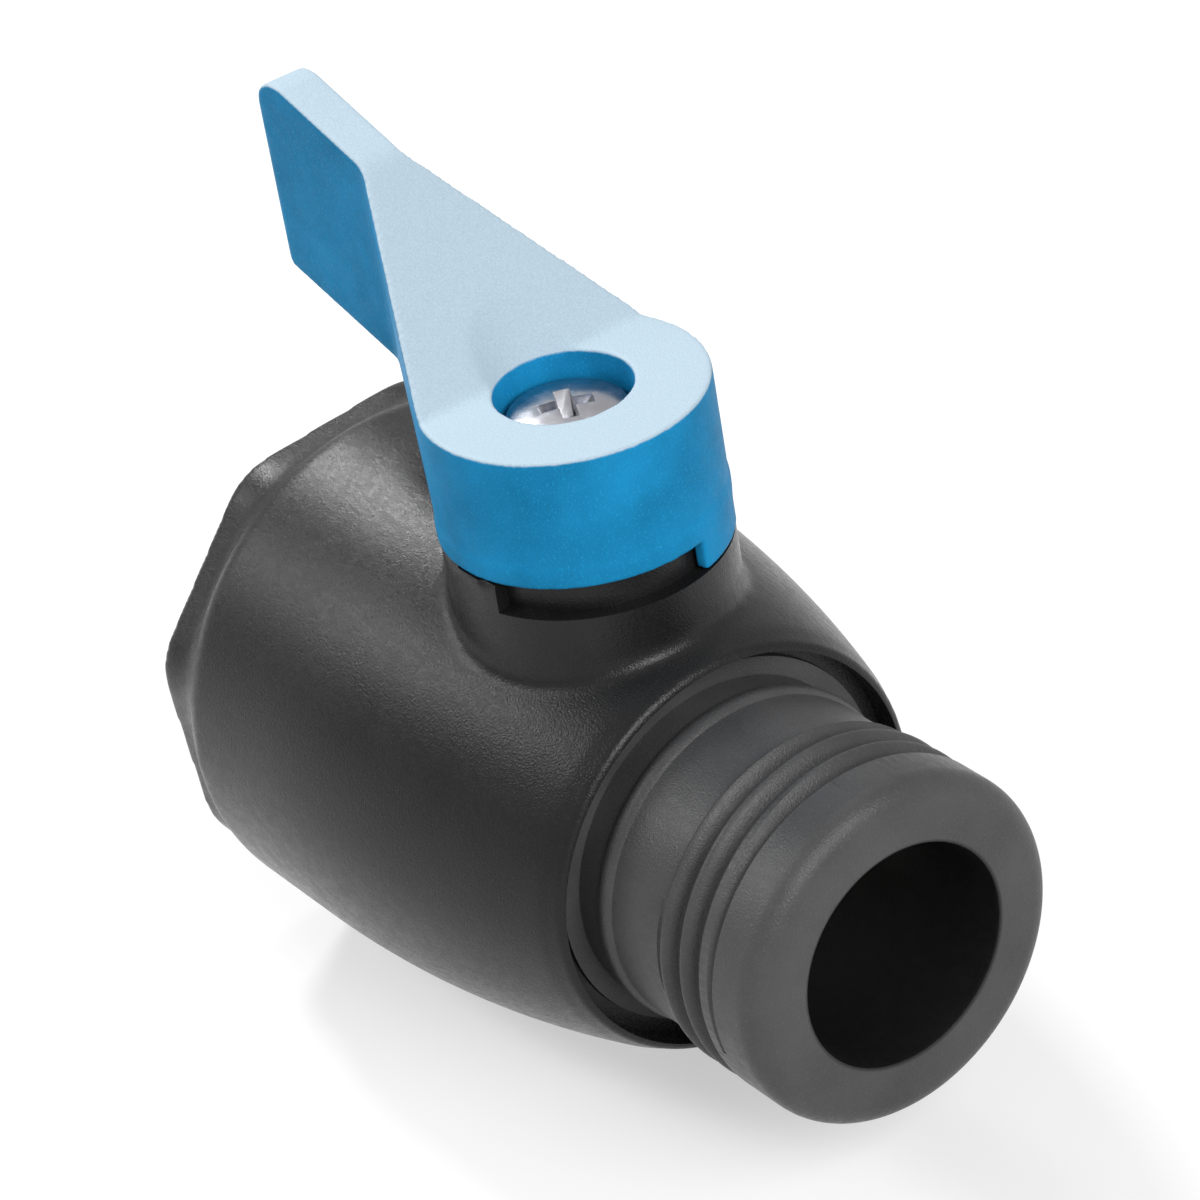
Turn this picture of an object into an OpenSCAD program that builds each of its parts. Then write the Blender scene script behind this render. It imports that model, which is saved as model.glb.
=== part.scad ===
// Garden-hose shut-off valve: a quarter-turn ball valve with a female hose
// thread at the inlet, a male hose thread at the outlet and a lever on top.
// Millimetres. The flow axis is X, from the inlet to the outlet. The stem
// axis is parallel to Z. The origin is the centre of the inlet end face.
// Hose threads are drawn as plain cylinders of their major diameter.

/* [Flow path] */
// Inlet end face to the stem axis
inlet_len = 33; // [31:0.5:40]
// Stem axis to the outlet face
outlet_len = 31.9; // [30:0.1:40]
// Bore through the outlet tail and the body
flow_bore_d = 17; // [13:0.5:17.2]
// Ball diameter
ball_d = 25; // [24:0.1:25.2]
// Bore through the ball
ball_bore_d = 15.5; // [10:0.5:16]

/* [Hose threads] */
// Major diameter of the male hose thread
male_thread_d = 26.9; // [26.6:0.1:27.2]
// Length of the male thread, with its plain lead
male_thread_len = 11; // [9:0.5:13]
// Major diameter of the female hose thread
female_thread_d = 27.2; // [26.9:0.1:27.6]
// Length of the female thread, down to the hose washer
female_thread_len = 8.5; // [7:0.5:10]

/* [Body] */
// Largest diameter of the barrel
barrel_d = 41.8; // [40:0.2:46]
// Radius of the barrel's long curve, in front of its widest place
barrel_curve_r = 100; // [80:5:140]
// Widest place of the barrel, behind the stem axis
barrel_peak = 18; // [16:0.5:19]
// Across the flats of the eight-sided inlet collar
collar_flats = 38.6; // [35:0.2:39]
// Turn of the collar's flats about the flow axis, in degrees
collar_turn = 5; // [0:0.5:8]
// Length of the eight-sided inlet collar
collar_len = 3.5; // [3:0.25:5]
// Stem axis to the body's front lip
lip_len = 13; // [12:0.25:14]
// Diameter of the boss under the lever
boss_d = 21.1; // [20:0.1:23]
// Flow axis to the top of the boss
boss_top = 23.4; // [23:0.1:25]

/* [Stem] */
// Stem journal diameter
journal_d = 8.4; // [7.6:0.1:9]
// Stem flange diameter
flange_d = 11.6; // [10.6:0.2:11.8]
// Stem flange thickness
flange_t = 1.5; // [1:0.1:2]
// Thickness of the thrust washer on the flange
thrust_t = 0.8; // [0.5:0.1:1]
// Width of the stem's tang, along the flow
tang_w = 4; // [3:0.1:5]
// Width across the two flats of the stem's head
drive_flats = 6; // [5:0.1:7]
// Height of the stem's flatted head
drive_h = 3.4; // [2.5:0.1:4]

/* [Lever] */
// Diameter of the lever's hub
hub_d = 21.2; // [20:0.1:23]
// Height of the lever's hub
hub_h = 10.3; // [9.5:0.1:12]
// Diameter of the hub's foot rim
rim_d = 21.4; // [21.3:0.1:24]
// Height of the hub's foot rim
rim_h = 1.9; // [1:0.1:3]
// Stem axis to the top of the lever's end
lever_len = 33.2; // [28:0.1:45]
// Stem axis to the neck where the fin starts
neck_len = 19.4; // [17:0.2:22]
// Thickness of the lever's fin
fin_t = 3.5; // [3:0.1:5]
// Hub's top to the fin's top at the neck
neck_rise = 11.8; // [8:0.1:13]
// Hub's top to the fin's top near its end
fin_rise = 15.7; // [13.5:0.1:17]
// Height of the fin at its end
fin_h = 16.2; // [11:0.1:17]
// Wall of the hollow hub
hub_wall = 1.8; // [1.4:0.1:2.2]
// Quarter turn of the lever, in degrees
turn = 90; // [85:1:95]
// Angle of the stop tab's leading side
tab_angle = 16; // [10:1:25]
// Width of the stop tab, in degrees
tab_width = 36; // [25:1:50]

/* [Screw] */
// Diameter of the screw's head
screw_head_d = 9; // [8:0.1:9.4]
// Height of the screw's head
screw_head_h = 2.6; // [2:0.1:2.8]
// Diameter of the screw's shank
screw_d = 3.9; // [3:0.1:4.2]
// Length of the screw's shank
screw_len = 11; // [8:0.5:12]

/* [Seals] */
// Outer diameter of the ball seats
seat_d = 23.8; // [23.4:0.1:24]
// Thickness of the ball seats
seat_t = 4.1; // [3.6:0.1:4.3]
// Cross section of the ring behind each seat
cushion_wire = 1.7; // [1.4:0.1:1.8]
// Cross section of the tail's sealing ring
tail_ring_wire = 1.4; // [1.2:0.1:1.5]
// Cross section of the stem's sealing rings
stem_ring_wire = 1.6; // [1.4:0.1:1.8]
// Outer diameter of the hose washer
washer_d = 26.2; // [25:0.1:26.8]
// Thickness of the hose washer
washer_t = 2.8; // [2:0.1:3]

/* [Hidden] */

// Facets of round faces: most of them, small sections and the long curve
$fn = 96;
small_fn = 48;
curve_fn = 360;
arc_steps = 6;

// Colours of the materials
black_plastic = [0.16, 0.16, 0.17];
tail_plastic = [0.2, 0.2, 0.21];
blue_plastic = [0.02, 0.42, 0.62];
acetal = [0.86, 0.86, 0.84];
seat_plastic = [0.93, 0.93, 0.9];
stem_plastic = [0.82, 0.82, 0.8];
seal_rubber = [0.08, 0.08, 0.08];
washer_rubber = [0.1, 0.1, 0.1];
plated_steel = [0.75, 0.76, 0.78];

// Clearances: a fixed fit on the radius, a turning fit on the radius, the
// lever above the boss and the angle left at each stop
fit = 0.05;
run = 0.05;
lever_gap = 0.3;
stop_gap = 0.25;
// Overlap of a cutting tool past the face that it cuts
past = 1;

// Radii that follow from the driving diameters
flow_r = flow_bore_d / 2;
ball_r = ball_d / 2;
thread_r = male_thread_d / 2;
barrel_r = barrel_d / 2;
boss_r = boss_d / 2;
journal_r = journal_d / 2;
flange_r = flange_d / 2;
hub_r = hub_d / 2;
seat_r = seat_d / 2;

// Ball chamber, and the seat pockets at its two ends
ball_gap = 0.3;
flange_room = 0.4;
seat_bore_room = 0.1;
chamber_r = ball_r + ball_gap;
chamber_half = flange_r + flange_room;
seat_back = 11.55;
seat_front = seat_back - seat_t;
pocket_r = seat_r + fit;
pocket_end = seat_back + fit;
seat_bore_r = flow_r + seat_bore_room;

// Grooves for the rings behind the seats
cushion_r = (seat_bore_r + seat_r) / 2;
cushion_groove_w = cushion_wire + 2 * fit;
cushion_groove_end = pocket_end + cushion_wire + fit;

// Tail: the skirt held in the body, its groove, the neck, bead and thread
skirt_wall = 2.25;
skirt_step = 0.6;
skirt_r = pocket_r + skirt_wall;
skirt_end = pocket_end - skirt_step;
tail_bore_r = skirt_r + fit;
tail_groove_r = tail_bore_r - tail_ring_wire - fit;
tail_groove_room = 0.3;
tail_groove_w = tail_ring_wire + tail_groove_room;
tail_groove_mid = (chamber_half + skirt_end) / 2;
neck_step = 0.65;
neck_r = thread_r - neck_step;
bead_r = 1.1;
bead_proud = 0.35;
thread_start = outlet_len - male_thread_len;
thread_chamfer = 0.6;
face_round = 1.8;
bore_chamfer = 0.3;

// Body: barrel ends, inlet collar and front lip
barrel_back = collar_len - inlet_len;
shoulder_round = 1.8;
collar_sides = 8;
collar_r = collar_flats / 2 / cos(180 / collar_sides);
collar_chamfer = 0.3;
corner_blunt = 0.6;
collar_corner_r = collar_r - corner_blunt;
lip_r = arc_radius(lip_len);
lip_round = 0.4;
lip_wall = 0.6;
lip_recess = 2.4;
boss_flare = 1.5;
boss_sink = 3.5;

// Stem heights above the flow axis
flange_lift = 0.1;
flange_bottom = chamber_r + flange_lift;
flange_top = flange_bottom + flange_t;
recess_top = flange_top + thrust_t;
recess_r = flange_r + run;
stem_bore_r = journal_r + run;
ball_roof = 1.4;
tang_bottom = ball_bore_d / 2 + ball_roof;
tang_len = 9;
tang_inset = 0.5;
tang_end_gap = 0.3;
tang_foot_gap = 0.2;
hub_bottom = boss_top + lever_gap;
drive_top = hub_bottom + drive_h;
ring_groove_room = 0.2;
ring_groove_w = stem_ring_wire + ring_groove_room;
ring_groove_r = stem_bore_r - stem_ring_wire - 2 * run;
first_ring = 2.3;
ring_land = 1.3;
lower_ring_z = recess_top + first_ring;
upper_ring_z = lower_ring_z + stem_ring_wire + ring_land;

// Lever heights and outline
hub_top = hub_bottom + hub_h;
head_pocket_depth = 3.9;
head_gap = 0.57;
screw_gap = 0.2;
tower_wall = 1.3;
hub_roof = 3;
web_top = hub_top - head_pocket_depth;
head_pocket_r = screw_head_d / 2 + head_gap;
screw_hole_r = screw_d / 2 + screw_gap;
tower_r = head_pocket_r + tower_wall;
dish_step = 0.2;
dish_slope = 1.15;
dish_h = 4;
core_top = hub_top - hub_roof;
crease = 3.6;
neck_top = hub_top + neck_rise;
fin_top = hub_top + fin_rise;
neck_fillet = 3;
neck_round = 6;
tip_round = 3.2;
tip_lift = 0.3;
heel_round = 1.2;
end_lean = 0.7;
underside_drop = 0.27;
arm_inset = 0.1;
arm_wall = 1.9;
core_setback = 3;

// Stop slot in the boss and stop tab on the lever
slot_depth = 1.25;
slot_height = 2.25;
tab_back_gap = 0.3;
tab_foot_gap = 0.15;
slot_r = boss_r - slot_depth;
slot_floor = boss_top - slot_height;
slot_from = tab_angle - turn - stop_gap;
slot_to = tab_angle + tab_width + stop_gap;
tab_in_r = slot_r + tab_back_gap;
tab_bottom = slot_floor + tab_foot_gap;

// Inlet thread, and the seat that the hose washer lies in
female_r = female_thread_d / 2;
female_end = female_thread_len - inlet_len;
washer_seat = female_end + washer_t;

// Radius of the barrel's curve at a place along the flow axis
function arc_radius(x) = barrel_r - barrel_curve_r
    + sqrt(pow(barrel_curve_r, 2) - pow(x + barrel_peak, 2));

// Points on an arc, from one angle to another
function arc_points(centre, radius, from, to, steps) =
    [for (i = [0 : steps])
        centre + radius * [cos(from + (to - from) * i / steps),
                           sin(from + (to - from) * i / steps)]];

// Points mirrored across the lever's middle line, in reverse order
function mirrored(points) =
    [for (i = [len(points) - 1 : -1 : 0]) [points[i][0], -points[i][1]]];

// Carries an outline's last side on past its end, so that it cuts cleanly
carry = 1.6;
function carried_on(points) =
    let (n = len(points))
    [for (i = [0 : n - 1])
        i < n - 1 ? points[i] : points[n - 2] + carry * (points[n - 1] - points[n - 2])];

// Half width of the arm's hollow at a place behind the stem axis
function core_half(place) =
    fin_t / 2 + (neck_len - place) * tan(flare_angle) - arm_wall / cos(flare_angle);

// Rounds the corner b between a and c of an outline
function rounded(a, b, c, radius, steps) =
    let (u = (a - b) / norm(a - b),
         v = (c - b) / norm(c - b),
         half = acos(u * v) / 2,
         centre = b + (u + v) / norm(u + v) * radius / sin(half),
         p = b + u * radius / tan(half) - centre,
         q = b + v * radius / tan(half) - centre,
         from = atan2(p[1], p[0]),
         swing = atan2(p[0] * q[1] - p[1] * q[0], p * q))
    arc_points(centre, radius, from, from + swing, steps);

// Places its children on the stem axis, at the height of the flow axis
module at_stem() {
    translate([inlet_len, 0, 0]) children();
}

// Turns a profile of radius and place about the flow axis
module turned() {
    rotate([0, 90, 0]) rotate_extrude() children();
}

// A straight round bar or hole along the flow axis
module flow_cylinder(radius, from, to) {
    translate([from, 0, 0]) rotate([0, 90, 0]) cylinder(r = radius, h = to - from);
}

// A rectangle of the profile plane, between two radii and two places
module band(r_in, r_out, from, to) {
    translate([r_in, from]) square([r_out - r_in, to - from]);
}

// A ring with a round section about the flow axis
module flow_ring(radius, wire, place) {
    turned() translate([radius, place]) circle(d = wire, $fn = small_fn);
}

// A ring with a round section about the stem axis
module stem_ring(place) {
    at_stem() translate([0, 0, place]) rotate_extrude()
        translate([stem_bore_r - run - stem_ring_wire / 2, 0])
            circle(d = stem_ring_wire, $fn = small_fn);
}

// A flat sector between two radii and two angles
module sector(r_in, r_out, from, to) {
    reach = 2 * r_out;
    difference() {
        intersection() {
            circle(r = r_out);
            polygon([[0, 0],
                     reach * [cos(from), sin(from)],
                     reach * [cos((from + to) / 2), sin((from + to) / 2)],
                     reach * [cos(to), sin(to)]]);
        }
        circle(r = r_in);
    }
}

// Barrel: straight up to its widest place, then one long curve to the lip
module barrel() {
    turned() {
        band(0, barrel_r, barrel_back + shoulder_round, -barrel_peak);
        intersection() {
            band(0, barrel_r + past, -barrel_peak, lip_len - lip_round);
            translate([barrel_r - barrel_curve_r, -barrel_peak])
                circle(r = barrel_curve_r, $fn = curve_fn);
        }
        band(0, barrel_r - shoulder_round, barrel_back, 0);
        translate([barrel_r - shoulder_round, barrel_back + shoulder_round])
            circle(r = shoulder_round, $fn = small_fn);
        band(0, lip_r - lip_round, 0, lip_len);
        translate([lip_r - lip_round, lip_len - lip_round])
            circle(r = lip_round, $fn = small_fn);
    }
}

// Eight-sided collar at the inlet, with blunt corners and a chamfered end
module inlet_collar() {
    intersection() {
        translate([-inlet_len, 0, 0]) rotate([collar_turn, 0, 0]) rotate([0, 90, 0])
            rotate([0, 0, 180 / collar_sides])
                cylinder(r = collar_r, h = collar_len + shoulder_round, $fn = collar_sides);
        turned() polygon([
            [0, -inlet_len],
            [collar_corner_r - collar_chamfer, -inlet_len],
            [collar_corner_r, -inlet_len + collar_chamfer],
            [collar_corner_r, barrel_back + shoulder_round + past],
            [0, barrel_back + shoulder_round + past]]);
    }
}

// Boss that carries the stem, with a flared foot and the lever's stop slot
module boss() {
    foot = arc_radius(0) - boss_sink;
    difference() {
        union() {
            cylinder(r = boss_r, h = boss_top);
            translate([0, 0, foot])
                cylinder(r1 = boss_r + boss_flare, r2 = boss_r, h = 2 * boss_flare);
        }
        translate([0, 0, slot_floor]) linear_extrude(height = boss_top)
            sector(slot_r, boss_r + past, slot_from, slot_to);
    }
}

// Moulded body: inlet, ball chamber and stem boss in one piece
module valve_body() {
    color(black_plastic) at_stem() difference() {
        union() {
            barrel();
            inlet_collar();
            boss();
        }
        flow_cylinder(female_r, -inlet_len - past, female_end);
        flow_cylinder(washer_d / 2 + fit, -inlet_len, washer_seat);
        flow_cylinder(flow_r, washer_seat - past, 0);
        flow_cylinder(pocket_r, -pocket_end, 0);
        turned() band(cushion_r - cushion_groove_w / 2, cushion_r + cushion_groove_w / 2,
                      -cushion_groove_end, 0);
        flow_cylinder(chamber_r, -chamber_half, chamber_half + past);
        flow_cylinder(tail_bore_r, chamber_half, lip_len + past);
        flow_cylinder(lip_r - lip_wall, lip_len - lip_recess, lip_len + past);
        cylinder(r = recess_r, h = recess_top);
        cylinder(r = stem_bore_r, h = boss_top + past);
    }
}

// Outlet tail: skirt that holds the seat, neck, bead and male hose thread
module outlet_tail() {
    color(tail_plastic) at_stem() turned() difference() {
        union() {
            band(0, skirt_r, chamber_half + fit, skirt_end);
            band(0, neck_r, skirt_end - past, thread_start + past);
            translate([neck_r - bead_r + bead_proud, lip_len + bead_r])
                circle(r = bead_r, $fn = small_fn);
            polygon([[0, thread_start],
                     [thread_r - thread_chamfer, thread_start],
                     [thread_r, thread_start + thread_chamfer],
                     [thread_r, outlet_len - face_round],
                     [0, outlet_len - face_round]]);
            band(0, thread_r - face_round, outlet_len - 2 * face_round, outlet_len);
            translate([thread_r - face_round, outlet_len - face_round])
                circle(r = face_round, $fn = small_fn);
        }
        band(-past, flow_r, 0, outlet_len + past);
        polygon([[0, outlet_len - flow_r - bore_chamfer],
                 [flow_r + bore_chamfer + past, outlet_len + past],
                 [0, outlet_len + past]]);
        band(0, pocket_r, 0, pocket_end);
        band(cushion_r - cushion_groove_w / 2, cushion_r + cushion_groove_w / 2,
             0, cushion_groove_end);
        band(tail_groove_r, skirt_r + past,
             tail_groove_mid - tail_groove_w / 2, tail_groove_mid + tail_groove_w / 2);
    }
}

// Ball with its flow bore and the slot that the stem's tang turns
module ball() {
    color(acetal) at_stem() difference() {
        sphere(r = ball_r);
        flow_cylinder(ball_bore_d / 2, -ball_d, ball_d);
        translate([-tang_w / 2 - 2 * run, -tang_len / 2 - tang_end_gap, tang_bottom - tang_foot_gap])
            cube([tang_w + 4 * run, tang_len + 2 * tang_end_gap, ball_d]);
    }
}

// Seat ring with a face that follows the ball
module seat() {
    difference() {
        flow_cylinder(seat_r, seat_front, seat_back);
        flow_cylinder(seat_bore_r, 0, seat_back + past);
        sphere(r = ball_r + run);
    }
}

module outlet_seat() {
    color(seat_plastic) at_stem() seat();
}

module inlet_seat() {
    color(seat_plastic) at_stem() mirror([1, 0, 0]) seat();
}

// Rubber rings that press the seats against the ball
module outlet_seat_cushion() {
    color(seal_rubber) at_stem()
        flow_ring(cushion_r, cushion_wire, pocket_end + cushion_wire / 2);
}

module inlet_seat_cushion() {
    color(seal_rubber) at_stem()
        flow_ring(cushion_r, cushion_wire, -pocket_end - cushion_wire / 2);
}

// Rubber ring between the tail's skirt and the body
module tail_seal_ring() {
    color(seal_rubber) at_stem()
        flow_ring(tail_bore_r - fit / 2 - tail_ring_wire / 2, tail_ring_wire, tail_groove_mid);
}

// Stem: tang, flange, journal with two ring grooves, and the flatted head
module stem() {
    color(stem_plastic) at_stem() difference() {
        union() {
            intersection() {
                translate([-tang_w / 2, -tang_len / 2, tang_bottom])
                    cube([tang_w, tang_len, flange_bottom + flange_t / 2 - tang_bottom]);
                cylinder(r = flange_r - tang_inset, h = flange_top);
            }
            translate([0, 0, flange_bottom]) cylinder(r = flange_r, h = flange_t);
            translate([0, 0, flange_bottom])
                cylinder(r = journal_r, h = hub_bottom - flange_bottom);
            intersection() {
                translate([0, 0, flange_bottom])
                    cylinder(r = journal_r, h = drive_top - flange_bottom);
                translate([-drive_flats / 2, -journal_r - past, flange_top])
                    cube([drive_flats, 2 * journal_r + 2 * past, drive_top]);
            }
        }
        for (z = [lower_ring_z, upper_ring_z])
            translate([0, 0, z - ring_groove_w / 2]) difference() {
                cylinder(r = journal_r + past, h = ring_groove_w);
                cylinder(r = ring_groove_r, h = ring_groove_w);
            }
        translate([0, 0, web_top - screw_len - past])
            cylinder(r = screw_d / 2 + fit, h = screw_len + past);
    }
}

// Washer between the stem's flange and the body
module stem_thrust_washer() {
    color(seat_plastic) at_stem() translate([0, 0, flange_top + fit / 2])
        difference() {
            cylinder(r = flange_r, h = thrust_t - fit);
            translate([0, 0, -past]) cylinder(r = stem_bore_r, h = thrust_t + 2 * past);
        }
}

module stem_lower_ring() {
    color(seal_rubber) stem_ring(lower_ring_z);
}

module stem_upper_ring() {
    color(seal_rubber) stem_ring(upper_ring_z);
}

// Side of the lever's plan, from the hub's tangent point to the fin's tip
neck = [-neck_len, fin_t / 2];
plan_r = hub_r - arm_inset;
neck_angle = atan2(neck[1], neck[0]);
touch_angle = neck_angle - acos(plan_r / norm(neck));
touch = plan_r * [cos(touch_angle), sin(touch_angle)];
flare_angle = atan2(touch[1] - neck[1], touch[0] - neck[0]);
fillet_run = neck_fillet * tan(flare_angle / 2);
plan_side = concat(
    [touch],
    arc_points(neck + [-fillet_run, neck_fillet], neck_fillet, flare_angle - 90, -90, arc_steps),
    arc_points([fin_t / 2 - lever_len - end_lean, 0], fin_t / 2, 90, 180, arc_steps + 2));

// Side view of the lever's top: flat hub, slope up to the neck, then the fin
fin_low = fin_top - fin_h;
crease_point = [-crease, hub_top];
neck_point = [-neck_len, neck_top];
tip_top = [-lever_len, fin_top + tip_lift];
tip_heel = [-lever_len - end_lean, fin_low];
end_reach = 1.3;
end_top = tip_heel + end_reach * (tip_top - tip_heel);
top_cut = concat(
    [[hub_r + past, hub_top], crease_point],
    rounded(crease_point, neck_point, tip_top, neck_round, arc_steps),
    carried_on(rounded(neck_point, tip_top, tip_heel, tip_round, arc_steps)),
    [[-lever_len - 3 * past, end_top[1] + past], [hub_r + past, end_top[1] + past]]);

// Side view of the arm below its top: end, heel and rising underside
arm_low = [-crease, fin_low - underside_drop * (lever_len + end_lean - crease)];
arm_side = concat(
    [[-crease, end_top[1]], end_top],
    rounded(end_top, tip_heel, arm_low, heel_round, arc_steps - 1),
    [arm_low]);

// Plan of the lever behind the hub, and of the hollow inside the arm
arm_plan = concat(plan_side, mirrored(plan_side));
core_back = neck_len - core_setback;
core_front = hub_r + past / 2;
core_side = [
    [-core_front, core_half(core_front)],
    [-core_back, core_half(core_back)]];
core_plan = concat(core_side, mirrored(core_side));

// Side view of the arm's hollow, open below and under an even wall
slope = neck_rise / (neck_len - crease);
function core_ceiling(place) =
    hub_top + slope * (place - crease) - arm_wall * sqrt(1 + slope * slope);
core_section = [
    [-core_front, hub_bottom],
    [-core_front, core_ceiling(core_front)],
    [-core_back, core_ceiling(core_back)],
    [-core_back, hub_bottom]];

// A prism across the lever, from an outline in the side view
module across(width) {
    rotate([90, 0, 0]) translate([0, 0, -width / 2]) linear_extrude(height = width) children();
}

// Lever: hollow hub on the stem, sloping arm, upright fin and stop tab
module lever() {
    color(blue_plastic) at_stem() difference() {
        union() {
            translate([0, 0, hub_bottom]) cylinder(r = hub_r, h = end_top[1] - hub_bottom);
            translate([0, 0, hub_bottom]) cylinder(r = rim_d / 2, h = rim_h);
            intersection() {
                linear_extrude(height = 2 * fin_top) polygon(arm_plan);
                across(3 * hub_r) polygon(arm_side);
            }
            translate([0, 0, tab_bottom]) linear_extrude(height = hub_bottom + rim_h / 2 - tab_bottom)
                sector(tab_in_r, rim_d / 2, tab_angle, tab_angle + tab_width);
        }
        across(3 * hub_r) polygon(top_cut);
        // Dish that keeps the pocket's rim level where the slope would rise over it
        translate([0, 0, hub_top])
            cylinder(r1 = head_pocket_r + dish_step,
                     r2 = head_pocket_r + dish_step + dish_h / dish_slope, h = dish_h);
        // Head pocket, screw hole and the socket for the stem's flats
        translate([0, 0, web_top]) cylinder(r = head_pocket_r, h = 3 * hub_h);
        translate([0, 0, hub_bottom - past]) cylinder(r = screw_hole_r, h = hub_h);
        translate([0, 0, hub_bottom - past]) intersection() {
            cylinder(r = journal_r + fit, h = drive_h + fit + past);
            translate([-drive_flats / 2 - fit, -2 * journal_r, 0])
                cube([drive_flats + 2 * fit, 4 * journal_r, 2 * drive_h]);
        }
        // Moulding core of the hub and of the arm behind it
        translate([0, 0, hub_bottom - past]) difference() {
            cylinder(r = hub_r - hub_wall, h = core_top - hub_bottom + past);
            cylinder(r = tower_r, h = hub_h);
        }
        intersection() {
            linear_extrude(height = fin_top) polygon(core_plan);
            across(hub_d) polygon(core_section);
        }
    }
}

// Pan-head screw with a cross recess
module lever_screw() {
    cross_w = 1.3;
    cross_d = 1.5;
    dome_r = 16;
    point_r = 0.4;
    color(plated_steel) at_stem() translate([0, 0, web_top]) difference() {
        union() {
            intersection() {
                cylinder(d = screw_head_d, h = screw_head_h);
                translate([0, 0, screw_head_h - dome_r]) sphere(r = dome_r);
            }
            translate([0, 0, -screw_len + screw_d / 2])
                cylinder(d = screw_d, h = screw_len);
            translate([0, 0, -screw_len])
                cylinder(r1 = point_r, r2 = screw_d / 2, h = screw_d / 2);
        }
        for (a = [0, 90]) rotate([0, 0, a])
            translate([-screw_head_d / 4, -cross_w / 2, screw_head_h - cross_d])
                cube([screw_head_d / 2, cross_w, 2 * cross_d]);
    }
}

// Flat rubber washer at the bottom of the female thread
module hose_washer() {
    hole_lip = 0.3;
    color(washer_rubber) at_stem() difference() {
        flow_cylinder(washer_d / 2, female_end, washer_seat);
        flow_cylinder(flow_r - hole_lip, female_end - past, washer_seat + past);
    }
}

valve_body();
outlet_tail();
ball();
inlet_seat();
outlet_seat();
inlet_seat_cushion();
outlet_seat_cushion();
tail_seal_ring();
stem();
stem_thrust_washer();
stem_lower_ring();
stem_upper_ring();
lever();
lever_screw();
hose_washer();
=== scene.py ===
"""Garden-hose shut-off valve: moulded body, outlet tail with its hose thread,
blue lever and screw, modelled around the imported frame. Pieces are modelled in
millimetres and brought to metres when they are finished."""
import math

import bpy
from mathutils import Matrix, Vector


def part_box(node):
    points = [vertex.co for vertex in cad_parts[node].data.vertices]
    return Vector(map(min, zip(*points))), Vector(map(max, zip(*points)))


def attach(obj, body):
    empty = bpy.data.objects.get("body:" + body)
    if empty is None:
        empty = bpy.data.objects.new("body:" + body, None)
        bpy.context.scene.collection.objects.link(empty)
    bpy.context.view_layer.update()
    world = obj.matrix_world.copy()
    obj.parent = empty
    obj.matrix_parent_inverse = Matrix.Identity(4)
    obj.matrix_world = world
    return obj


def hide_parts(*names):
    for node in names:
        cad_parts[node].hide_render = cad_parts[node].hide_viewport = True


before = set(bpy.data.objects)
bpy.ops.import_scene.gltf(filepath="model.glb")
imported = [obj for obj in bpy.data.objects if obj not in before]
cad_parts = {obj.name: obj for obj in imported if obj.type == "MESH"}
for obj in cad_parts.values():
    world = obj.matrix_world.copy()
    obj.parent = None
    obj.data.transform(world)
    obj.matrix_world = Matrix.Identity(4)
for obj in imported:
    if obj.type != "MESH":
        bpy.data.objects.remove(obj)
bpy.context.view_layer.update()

bl_info = {
    "name": "Hose shut-off valve",
    "version": (1, 0, 0),
    "blender": (4, 5, 0),
    "location": "3D View > Sidebar > Hose valve",
    "description": "Models the visible pieces of a garden-hose shut-off valve",
    "category": "Object",
}

MM = 1000.0
HOUSING = "housing"
TURNING = "turning_group"

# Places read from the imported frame, in millimetres
STEM_X = (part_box("stem")[0].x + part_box("stem")[1].x) / 2 * MM
INLET_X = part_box("valve_body")[0].x * MM
OUTLET_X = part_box("outlet_tail")[1].x * MM
BOSS_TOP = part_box("valve_body")[1].z * MM
BODY_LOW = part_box("valve_body")[0].z * MM
LEVER_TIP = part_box("lever")[0].x * MM


def length(name, description, default):
    """A length property, given in millimetres and held in metres."""
    return bpy.props.FloatProperty(
        name=name, description=description, default=default / MM, unit="LENGTH", precision=5)


def colour(name, description, default):
    """A surface colour property."""
    return bpy.props.FloatVectorProperty(
        name=name, description=description, default=default, size=3, min=0, max=1, subtype="COLOR")


class HoseValveBody(bpy.types.PropertyGroup):
    """Sizes of the moulded body"""
    barrel_radius: length("Barrel radius", "Largest radius of the barrel", 20.9)
    barrel_curve: length("Barrel curve", "Radius of the barrel's long curve", 100)
    barrel_peak: length("Barrel peak", "Widest place, behind the stem axis", 18)
    shoulder: length("Shoulder", "Rounding at the barrel's inlet end", 1.8)
    collar_flats: length("Collar flats", "Across the flats of the inlet collar", 38.6)
    collar_length: length("Collar length", "Length of the inlet collar", 3.5)
    collar_turn: bpy.props.FloatProperty(
        name="Collar turn", description="Turn of the collar's flats about the flow axis",
        default=math.radians(5), subtype="ANGLE")
    lip_place: length("Lip place", "Stem axis to the front lip", 13)
    boss_radius: length("Boss radius", "Radius of the boss under the lever", 10.55)
    voxel: length("Skin size", "Size of the skin's faces", 0.36)


class HoseValveTail(bpy.types.PropertyGroup):
    """Sizes of the outlet tail and its thread"""
    crest_radius: length("Crest radius", "Radius over the thread's crests", 13.45)
    root_radius: length("Root radius", "Radius at the thread's roots", 12.35)
    pitch: length("Pitch", "Distance between two crests", 2.209)
    bore_radius: length("Bore radius", "Radius of the flow bore", 8.5)
    neck_radius: length("Neck radius", "Radius of the plain neck", 12.8)
    thread_length: length("Thread length", "Length of the threaded part", 11)


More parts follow.
